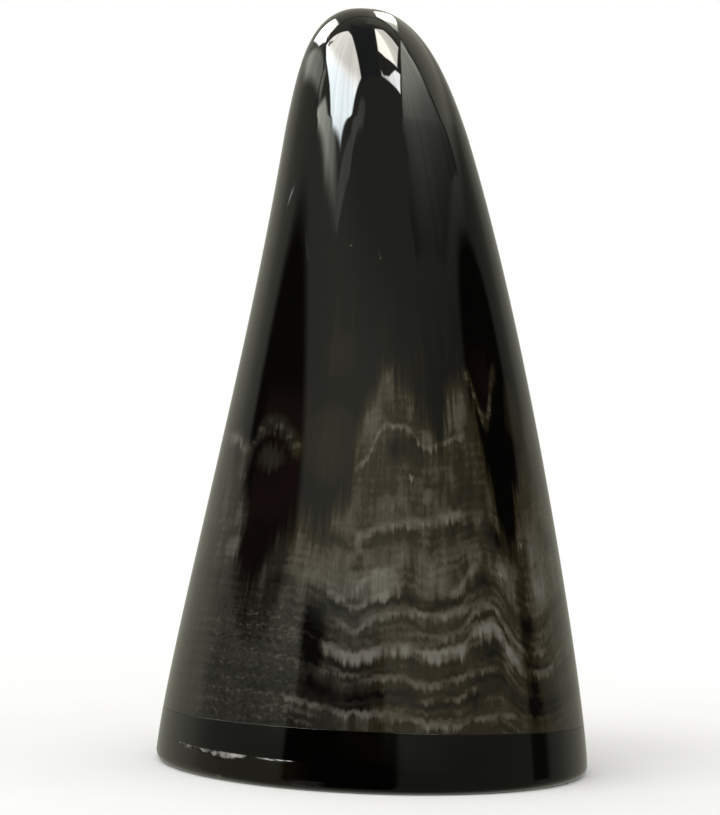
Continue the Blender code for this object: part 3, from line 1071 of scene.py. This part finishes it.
def horn_figure(bench, plan, fibres):
    """Paleness of the growth lines, tongues and spots of the horn."""
    coarse = fibres["Coarse"]
    fine = fibres["Fine"]
    jag = coarse - 0.5

    def drift(scale, seed):
        """Noise either side of 0."""
        return bench.noise(plan["Place"], scale, seed=seed) - 0.5

    stray = drift(55.0, 2.0) * plan["Behind"]
    azimuth = stray * BACK_TURN + plan["Azimuth"]
    height = stray * BACK_RISE + plan["Height mm"] + drift(230.0, 1.0) * 0.9
    ragged = height + jag * 0.6 + (fine - 0.5) * 0.35
    spot_azimuth = drift(380.0, 4.0) * 5.0 + azimuth
    spot_height = ragged + jag

    def cloth(across, up, seed):
        """Noise with its own grain round the horn and up it, per mm."""
        spun = bench.scaled(plan["Round"], across * ROUND_MM)
        rise = bench.join(0.0, 0.0, height * up)
        return bench.noise(bench.vector_math("ADD", spun, rise), 1.0, seed=seed)

    # Ground that pales and darkens by level
    warp = bench.table(azimuth, GROWTH_WARP)
    warp = warp * bench.ramp(height, 8.5, 15.0, 0.4, 1.0)
    age = ragged - warp * bench.ramp(height, 24.0, 34.0, 1.0, 0.4)
    ground = bench.table(age, GROWTH_TONE)
    ground = ground + (PLAIN_GROUND - ground) * bench.ramp(azimuth, -34.0, -22.0, 0.6, 0.0)
    tuft = cloth(0.75, 0.28, 8.0) - 0.5
    layer = bench.math("SINE", age * (LAYERS_PER_MM * math.tau))
    layer = layer * bench.ramp(cloth(0.35, 0.5, 14.0), 0.40, 0.60)
    ground = ground + tuft * bench.ramp(height, 21.0, 25.0, 0.36, 0.70)
    ground = ground + layer * bench.ramp(height, 18.0, 36.0, LAYER_TONE, 0.04)

    # Lines and spots drawn over it
    broken = bench.ramp(cloth(0.55, 1.2, 5.0), 0.32, 0.68, 0.50, 1.25)
    broken = broken * bench.ramp(coarse, 0.0, 1.0, 0.65, 1.35)
    lines = sum(drawn_line(bench, azimuth, ragged, line) for line in DRAWN_LINES)
    figure = lines * broken + ground
    for spot in DRAWN_SPOTS:
        figure = figure + drawn_spot(bench, spot_azimuth, spot_height, spot)

    # Upper end, where only what is drawn goes on
    top = bench.table(azimuth, FIGURE_TOP) + jag * 5.0
    under = bench.ramp(height - top, -4.0, 1.5, 1.0, 0.0)
    inside = figure * bench.table(azimuth, FIGURE_GAIN) * under
    outside = bench.math("MAXIMUM", figure - ground, 0.0) * (1.0 - under)
    streak = bench.ramp(cloth(0.75, 0.05, 16.0), 0.50, 0.75, 0.0, STREAK_TONE)
    figure = inside + outside + streak * bench.patch(azimuth, height, STREAK_AREA)

    # Rows of dots, flecks and the grain of the fibres
    rows = bench.math("SINE", height * (DOT_ROWS_PER_MM * math.tau)) * 0.30 + 0.70
    dots = bench.ramp(cloth(1.9, 3.0, 9.0), 0.36, 0.72) - 0.42
    dots = dots * rows * bench.patch(azimuth, height, DOTS_AREA)
    figure = bench.math("MAXIMUM", figure + dots * DOT_TONE, 0.0)
    speckle = cloth(2.6, 2.0, 12.0) - 0.5
    figure = figure + speckle * bench.ramp(figure, 0.05, 0.5, 0.0, 0.26)
    grain = fine * 0.30 + coarse * 0.36 + 0.68
    return bench.math("MAXIMUM", figure, 0.0) * grain


def streaked_horn(sizes, colours):
    """Dark polished horn with pale growth lines, fibres and a red brown cast."""
    made, bench, shader, plan, fibres = open_material(
        "streaked_horn", sizes, count=44.0, drift=0.16, seed=0.0)
    azimuth = plan["Azimuth"]
    height = plan["Height mm"]
    figure = horn_figure(bench, plan, fibres)

    cast = bench.noise(plan["Place"], 110.0, detail=3.0, seed=11.0)
    cast = bench.ramp(cast, 0.30, 0.62, 0.35, 1.0)
    red = sum(bench.patch(azimuth, height, area) for area in RED_AREAS) * 0.90 + 0.06
    body = bench.blend(cast * red, colours.dark_horn, colours.red_horn)
    over = height - bench.ramp(azimuth, -34.0, -26.0, 46.0, 24.0)
    cool = bench.ramp(azimuth, -8.0, 6.0, 1.0, 0.0) * bench.ramp(over, -4.0, 4.0, 1.0, 0.0)
    brown = bench.blend(cool, colours.brown_horn, colours.grey_horn)
    warm = bench.blend(bench.ramp(figure, 0.0, 0.35, smooth=False), body, brown)
    tone = bench.blend(bench.ramp(figure, 0.30, 1.05, smooth=False), warm, colours.pale_horn)
    bored = bench.attribute("bored")
    bored_tone = bench.blend(fibres["Coarse"], colours.bored_horn, colours.brown_horn)

    worn = wear(bench, plan, haze=0.010, scratch=0.25, seed=2.0)
    rough = worn["Dulling"] + bored * 0.42 + figure * 0.02 + 0.022
    relief = fibres["Fine"] * 0.12 + worn["Relief"]
    tone = bench.blend(bored, tone, bored_tone)
    finish_shader(bench, shader, tone, rough, relief, strength=0.05, distance=0.00002)
    return made


def black_horn(sizes, colours):
    """Black polished band with faint brown fibres."""
    made, bench, shader, plan, fibres = open_material(
        "black_horn", sizes, count=30.0, drift=0.12, seed=21.0)
    cloud = bench.noise(plan["Place"], 110.0, detail=3.0, seed=22.0)
    brown = bench.ramp(cloud, 0.5, 0.8) * fibres["Coarse"] * 0.35
    tone = bench.blend(brown, colours.black_band, colours.brown_horn)
    worn = wear(bench, plan, haze=0.06, scratch=0.8, seed=23.0)
    rough = worn["Dulling"] + 0.05
    finish_shader(bench, shader, tone, rough, worn["Relief"], strength=0.10, distance=0.00002)
    return made


def rim_horn(sizes, colours):
    """Brown black rim with a pale broken lip that carries a painted highlight, and a faint painted
    reflection along its foot.
    """
    made, bench, shader, plan, fibres = open_material(
        "rim_horn", sizes, count=34.0, drift=0.12, seed=31.0)
    azimuth = plan["Azimuth"]
    height = plan["Height mm"]
    cloud = bench.noise(plan["Place"], 140.0, detail=3.0, seed=32.0)
    brown = bench.ramp(cloud, 0.35, 0.75, 0.4, 1.0) * bench.window(azimuth, *RIM_BROWN)
    tone = bench.blend(brown, colours.black_band, colours.brown_rim)
    tone = bench.blend(fibres["Fine"] * brown * 0.25, tone, colours.brown_horn)
    chipped = bench.attribute("chipped")
    crumbs = bench.noise(plan["Place"], 2600.0, detail=3.0, roughness=0.7, seed=33.0)
    speckled = bench.ramp(crumbs, 0.40, 0.62, 0.06, 1.0)
    speckled = bench.math("MAXIMUM", speckled, bench.ramp(azimuth, *WHOLE_CHIP_AND_HIGHLIGHT))
    # The break is paled partly for the broken horn's own colour and partly as a painted highlight
    marks = (
        chipped * bench.table(azimuth, CHIP_AND_HIGHLIGHT_TONE) * speckled,
        bench.patch(azimuth, height, SCUFF_AREA) * bench.ramp(crumbs, 0.3, 0.7, 0.005, 0.03),
        bench.patch(azimuth, height, NICK_AREA) * 0.06,
        # Painted reflection: a faint paleness along the lowest half millimetre of the foot
        bench.ramp(height, 0.0, 0.5, 1.0, 0.0) * bench.ramp(cloud, 0.4, 0.8, 0.0, 0.03))
    pale = 0.0
    for mark in marks:
        pale = bench.math("MAXIMUM", mark, pale)
    tone = bench.blend(pale, tone, colours.broken_rim_and_highlight)
    worn = wear(bench, plan, haze=0.10, scratch=1.0, seed=34.0)
    rough = worn["Dulling"] + pale * 0.45 + 0.06
    relief = crumbs * chipped * 3.0 + worn["Relief"]
    finish_shader(bench, shader, tone, rough, relief, strength=0.15, distance=0.00003)
    return made


def finish_piece(piece, node):
    """Put a finished piece under its body and hide the solid it replaces."""
    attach(piece, "root")
    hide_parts(node)


class SHOFAR_OT_turn_horn(Operator):
    """Turn the bored horn and bow its tip"""

    bl_idname = "shofar.turn_horn"
    bl_label = "Turn Horn"

    def execute(self, context):
        sizes = context.scene.shofar_sizes
        skin = streaked_horn(sizes, context.scene.shofar_colours)
        turned = turning_step(
            sizes, skin, sizes.turn_steps,
            Low_Level=sizes.seam_height + 2.0 * sizes.edge_round,
            High_Level=sizes.seam_height + TILT_RUN,
            Low_Rise_Front=sizes.band_rise_front,
            Low_Rise_Left=sizes.band_rise_left,
            Inner_Radius=0.5 * (sizes.dome_radius + sizes.bell_radius - sizes.band_wall))
        piece = make_piece("horn_shell", horn_outline(sizes), [turned])
        finish_piece(piece, "horn_body")
        return {"FINISHED"}


class SHOFAR_OT_turn_band(Operator):
    """Turn the black band round the wide end"""

    bl_idname = "shofar.turn_band"
    bl_label = "Turn Band"

    def execute(self, context):
        sizes = context.scene.shofar_sizes
        skin = black_horn(sizes, context.scene.shofar_colours)
        turned = turning_step(
            sizes, skin, sizes.turn_steps,
            Low_Level=sizes.rim_height,
            High_Level=sizes.seam_height - 2.0 * sizes.edge_round,
            Low_Rise_Left=sizes.rim_rise_left,
            High_Rise_Front=sizes.band_rise_front,
            High_Rise_Left=sizes.band_rise_left)
        piece = make_piece("band_ring", band_outline(sizes), [turned])
        finish_piece(piece, "bell_band")
        return {"FINISHED"}


class SHOFAR_OT_turn_rim(Operator):
    """Turn the rim ring and break its lip"""

    bl_idname = "shofar.turn_rim"
    bl_label = "Turn Rim"

    def execute(self, context):
        sizes = context.scene.shofar_sizes
        skin = rim_horn(sizes, context.scene.shofar_colours)
        top = sizes.rim_height - 0.5 * sizes.tight_line
        turned = turning_step(
            sizes, skin, sizes.rim_steps,
            Low_Level=0.0,
            High_Level=top - LIP_MARGIN,
            High_Rise_Left=sizes.rim_rise_left,
            Inner_Radius=sizes.bell_radius - sizes.band_wall)
        chipped = {
            "Lip Radius": outer_radius(sizes, top),
            "Lip Level": top,
            "Lip Rise Left": sizes.rim_rise_left,
            "Bell Radius": sizes.bell_radius,
            "Chip Depth": sizes.chip_depth,
            "Grain": CHIPS_PER_METRE,
            "Seed": 6.0,
            "Skin": skin,
        }
        piece = make_piece(
            "rim_foot", rim_outline(sizes),
            [turned, (tree_named("chipped_lip", chipping_tree), chipped)])
        finish_piece(piece, "rim_ring")
        return {"FINISHED"}


def heading(azimuth, elevation):
    """Unit direction of an azimuth and an elevation in degrees."""
    a = math.radians(azimuth)
    e = math.radians(elevation)
    return Vector((math.sin(a) * math.cos(e), -math.cos(a) * math.cos(e), math.sin(e)))


def stage_object(name, mesh, skin):
    """Object of the studio, outside the part."""
    mesh.materials.append(skin)
    made = place_object(name, mesh)
    return made


def gloss_only(made):
    """Let a studio surface show in the gloss and nowhere else."""
    made.visible_camera = False
    made.visible_diffuse = False
    made.visible_transmission = False
    made.visible_volume_scatter = False
    made.visible_shadow = False


def direction_angles(bench):
    """Azimuth and elevation in degrees of a place on a studio surface."""
    x, y, z = bench.split(bench.vector_math("NORMALIZE", bench.place()))
    return compass(bench, x, y), bench.math("DEGREES", bench.math("ARCSINE", z))


def empty_material(name):
    """New material without a shader: its bench and the socket of its surface."""
    made, bench = new_material(name)
    made.node_tree.nodes.clear()
    made.cycles.emission_sampling = "NONE"
    return made, bench, bench.node("ShaderNodeOutputMaterial").inputs["Surface"]


def glow_material(name, tint, strength=1.0):
    """Material that only glows: its bench, its light and the socket of its surface."""
    made, bench, surface = empty_material(name)
    light = bench.node("ShaderNodeEmission")
    bench.fill(light, Color=(*tint, 1.0), Strength=strength)
    bench.wire(light.outputs[0], surface)
    return made, bench, light, surface


def light_level(bench, value, given):
    """A plain strength, or the strength at a value of a direction."""
    return bench.table(value, given) if isinstance(given, tuple) else given


def drawn_in(corners, edge):
    """Corners of an outline moved inwards by an edge width."""
    count = len(corners)
    area = sum(corners[i - 1].cross(corners[i]) for i in range(count))
    inward = math.copysign(1.0, area)
    moved = []
    for i in range(count):
        back = (corners[i] - corners[i - 1]).normalized()
        ahead = (corners[(i + 1) % count] - corners[i]).normalized()
        side = inward * Vector((-back.y - ahead.y, back.x + ahead.x))
        moved.append(corners[i] + edge * side / max(1.0 + back.dot(ahead), MITRE_LIMIT))
    return moved


def hang_card(name, points, faces, skin, cover=None):
    """Studio card of directions, hung round the horn."""
    mesh = bpy.data.meshes.new(name)
    mesh.from_pydata(points, [], faces)
    if cover:
        mesh.attributes.new("cover", "FLOAT", "POINT").data.foreach_set("value", cover)
    made = stage_object(name, mesh, skin)
    made.location = CARD_CENTRE
    gloss_only(made)


def card(name, distance, edge, tint, rise, turn, corners):
    """Card with a soft edge and its corners in given directions, its glow streaked by noise like
    soft folds.
    """
    squeeze = math.cos(math.radians(sum(corner[1] for corner in corners) / len(corners)))
    outer = [Vector((azimuth * squeeze, elevation)) for azimuth, elevation in corners]
    inner = drawn_in(outer, edge)
    points = [distance * heading(spot.x / squeeze, spot.y) for spot in outer + inner]
    count = len(corners)
    faces = [
        tuple(count + i for i in face)
        for face in tessellate_polygon([[spot.to_3d() for spot in inner]])]
    for i in range(count):
        ahead = (i + 1) % count
        faces.append((i, ahead, count + ahead, count + i))
    low_tint, high_tint = tint
    skin, bench, light, surface = glow_material(name, low_tint)
    azimuth, elevation = direction_angles(bench)
    if high_tint != low_tint:
        warmth = bench.ramp(elevation, WARM_FROM, WARM_FULL)
        bench.fill(light, Color=bench.blend(warmth, low_tint, high_tint))
    folds = bench.noise(
        bench.join(azimuth, elevation * FOLD_SLANT, distance), FOLDS_PER_DEGREE, seed=51.0)
    strength = light_level(bench, elevation, rise) * light_level(bench, azimuth, turn)
    bench.fill(light, Strength=strength * bench.ramp(folds, 0.3, 0.7, *FOLD_SHADE))
    clear = bench.source("ShaderNodeBsdfTransparent", 0)
    solid = bench.ramp(bench.attribute("cover"), 0.0, 1.0)
    bench.wire(bench.mix_shader(solid, clear, light.outputs[0]), surface)
    hang_card(name, points, faces, skin, [0.0] * count + [1.0] * count)


def ribbon(name, path, distance, width, tint, strength):
    """Thin strip along a path of directions."""
    way = [heading(*corner) for corner in path]
    points = []
    for index, spot in enumerate(way):
        ahead = way[min(index + 1, len(way) - 1)]
        back = way[max(index - 1, 0)]
        side = (ahead - back).cross(spot).normalized() * 0.5 * math.radians(width)
        points.append(distance * (spot - side))
        points.append(distance * (spot + side))
    faces = [(2 * i, 2 * i + 1, 2 * i + 3, 2 * i + 2) for i in range(len(way) - 1)]
    hang_card(name, points, faces, glow_material(name, tint, strength)[0])


def room_surround():
    """Dim room with black flags that the gloss sees all round."""
    mesh = bpy.data.meshes.new("room_surround")
    ball = bmesh.new()
    bmesh.ops.create_uvsphere(ball, u_segments=64, v_segments=32, radius=ROOM_RADIUS)
    ball.to_mesh(mesh)
    ball.free()
    skin, bench, light, _ = glow_material("room_surround", ROOM_TINT)
    azimuth, elevation = direction_angles(bench)
    level = bench.table(azimuth, ROOM_LOW)
    for table, rise in ((ROOM_MIDDLE, MIDDLE_RISE), (ROOM_HIGH, HIGH_RISE)):
        change = bench.table(azimuth, table) - level
        level = level + change * bench.ramp(elevation, *rise)
    for middle, height, half_width, half_height, lean in OVAL_FLAGS:
        away = bench.oval(
            elevation * lean + azimuth, elevation, middle + lean * height, height,
            half_width, half_height)
        level = level * bench.ramp(away, *OVAL_EDGE)
    for dark, *area in SQUARE_FLAGS:
        level = level * (1.0 - bench.patch(azimuth, elevation, area) * dark)
    bench.fill(light, Strength=level)
    gloss_only(stage_object("room_surround", mesh, skin))


def pale_floor(tone):
    """Pale floor that keeps the shadow near the horn and turns white far away."""
    mesh = bpy.data.meshes.new("pale_floor")
    disc = bmesh.new()
    bmesh.ops.create_circle(disc, cap_ends=True, segments=96, radius=FLOOR_RADIUS)
    disc.to_mesh(mesh)
    disc.free()
    made, bench, surface = empty_material("pale_floor")
    place = bench.place()
    far = bench.ramp(bench.vector_math("LENGTH", place), *FLOOR_FADE)
    mottle = bench.ramp(bench.noise(place, 40.0, detail=3.0, seed=41.0), 0.3, 0.7)
    dim = [FLOOR_MOTTLE * part for part in tone]
    paper = bench.node("ShaderNodeBsdfDiffuse")
    bench.fill(paper, Color=bench.blend(mottle, dim, tone))
    white = bench.source("ShaderNodeEmission", 0)
    lit = bench.mix_shader(far * bench.seen(), paper.outputs[0], white)
    clear = bench.source("ShaderNodeBsdfTransparent", 0)
    below = bench.source("ShaderNodeNewGeometry", "Backfacing")
    bench.wire(bench.mix_shader(below, lit, clear), surface)
    floor = stage_object("pale_floor", mesh, made)
    floor.location.z = FLOOR_LEVEL
    floor.visible_glossy = False


def white_world(fill):
    """White backdrop for what is seen, even soft light for what is lit."""
    world = bpy.data.worlds.new("studio")
    bpy.context.scene.world = world
    world.use_nodes = True
    world.node_tree.nodes.clear()
    bench = NodeBench(world.node_tree)
    soft = bench.node("ShaderNodeBackground")
    bench.fill(soft, Color=(*FILL_TINT, 1.0), Strength=fill)
    white = bench.node("ShaderNodeBackground")
    bench.fill(white, Color=(1.0, 1.0, 1.0, 1.0), Strength=1.0)
    mixed = bench.mix_shader(bench.seen(), soft.outputs[0], white.outputs[0])
    bench.fill(bench.node("ShaderNodeOutputWorld"), Surface=mixed)


class SHOFAR_OT_set_stage(Operator):
    """Set the floor, the light and the camera"""

    bl_idname = "shofar.set_stage"
    bl_label = "Set Stage"

    def execute(self, context):
        scene = context.scene
        studio = scene.shofar_studio
        scene.view_settings.view_transform = "Standard"
        white_world(studio.fill)
        pale_floor(scene.shofar_colours.floor)
        room_surround()
        for sheet in CARDS:
            card(*sheet)
        ribbon("edge_ribbon", EDGE_PATH, EDGE_DISTANCE, EDGE_WIDTH, PLAIN, EDGE_STRENGTH)
        lamp = bpy.data.lights.new("key_lamp", "AREA")
        lamp.energy = studio.key
        lamp.size = KEY_SIZE
        holder = place_object("key_lamp", lamp)
        direction = heading(*KEY_HEADING)
        holder.location = KEY_DISTANCE * direction
        holder.rotation_euler = direction.to_track_quat("Z", "Y").to_euler()
        holder.visible_glossy = False
        eye = bpy.data.cameras.new("portrait")
        eye.sensor_width = SENSOR_WIDTH
        eye.lens = eye.sensor_width * studio.focal_px / PHOTO_HEIGHT_PX
        eye.clip_start = 0.01
        eye.clip_end = 20.0
        camera = place_object("portrait", eye)
        camera.location = studio.camera_place
        upright = Matrix.Rotation(0.5 * math.pi + studio.camera_pitch, 3, "X")
        rolled = Matrix.Rotation(studio.camera_roll, 3, "Z")
        camera.rotation_euler = (upright @ rolled).to_euler()
        scene.camera = camera
        return {"FINISHED"}


class SHOFAR_PT_pieces(Panel):
    """Sidebar list of the pieces and their sizes"""

    bl_idname = "SHOFAR_PT_pieces"
    bl_label = "Shofar"
    bl_space_type = "VIEW_3D"
    bl_region_type = "UI"
    bl_category = "Shofar"

    def draw(self, context):
        layout = self.layout
        for operator in OPERATORS:
            layout.operator(operator.bl_idname)
        for group in GROUPS:
            holder = getattr(context.scene, GROUPS[group])
            for name in group.__annotations__:
                layout.prop(holder, name)


OPERATORS = (
    SHOFAR_OT_turn_horn, SHOFAR_OT_turn_band, SHOFAR_OT_turn_rim, SHOFAR_OT_set_stage)
GROUPS = {
    ShofarSizes: "shofar_sizes",
    ShofarColours: "shofar_colours",
    ShofarStudio: "shofar_studio",
}


def register():
    for group, name in GROUPS.items():
        bpy.utils.register_class(group)
        setattr(bpy.types.Scene, name, PointerProperty(type=group))
    for operator in OPERATORS:
        bpy.utils.register_class(operator)
    bpy.utils.register_class(SHOFAR_PT_pieces)


def unregister():
    bpy.utils.unregister_class(SHOFAR_PT_pieces)
    for operator in reversed(OPERATORS):
        bpy.utils.unregister_class(operator)
    for group, name in GROUPS.items():
        delattr(bpy.types.Scene, name)
        bpy.utils.unregister_class(group)


def main():
    register()
    bpy.ops.shofar.turn_horn()
    bpy.ops.shofar.turn_band()
    bpy.ops.shofar.turn_rim()
    bpy.ops.shofar.set_stage()


if __name__ == "__main__":
    main()
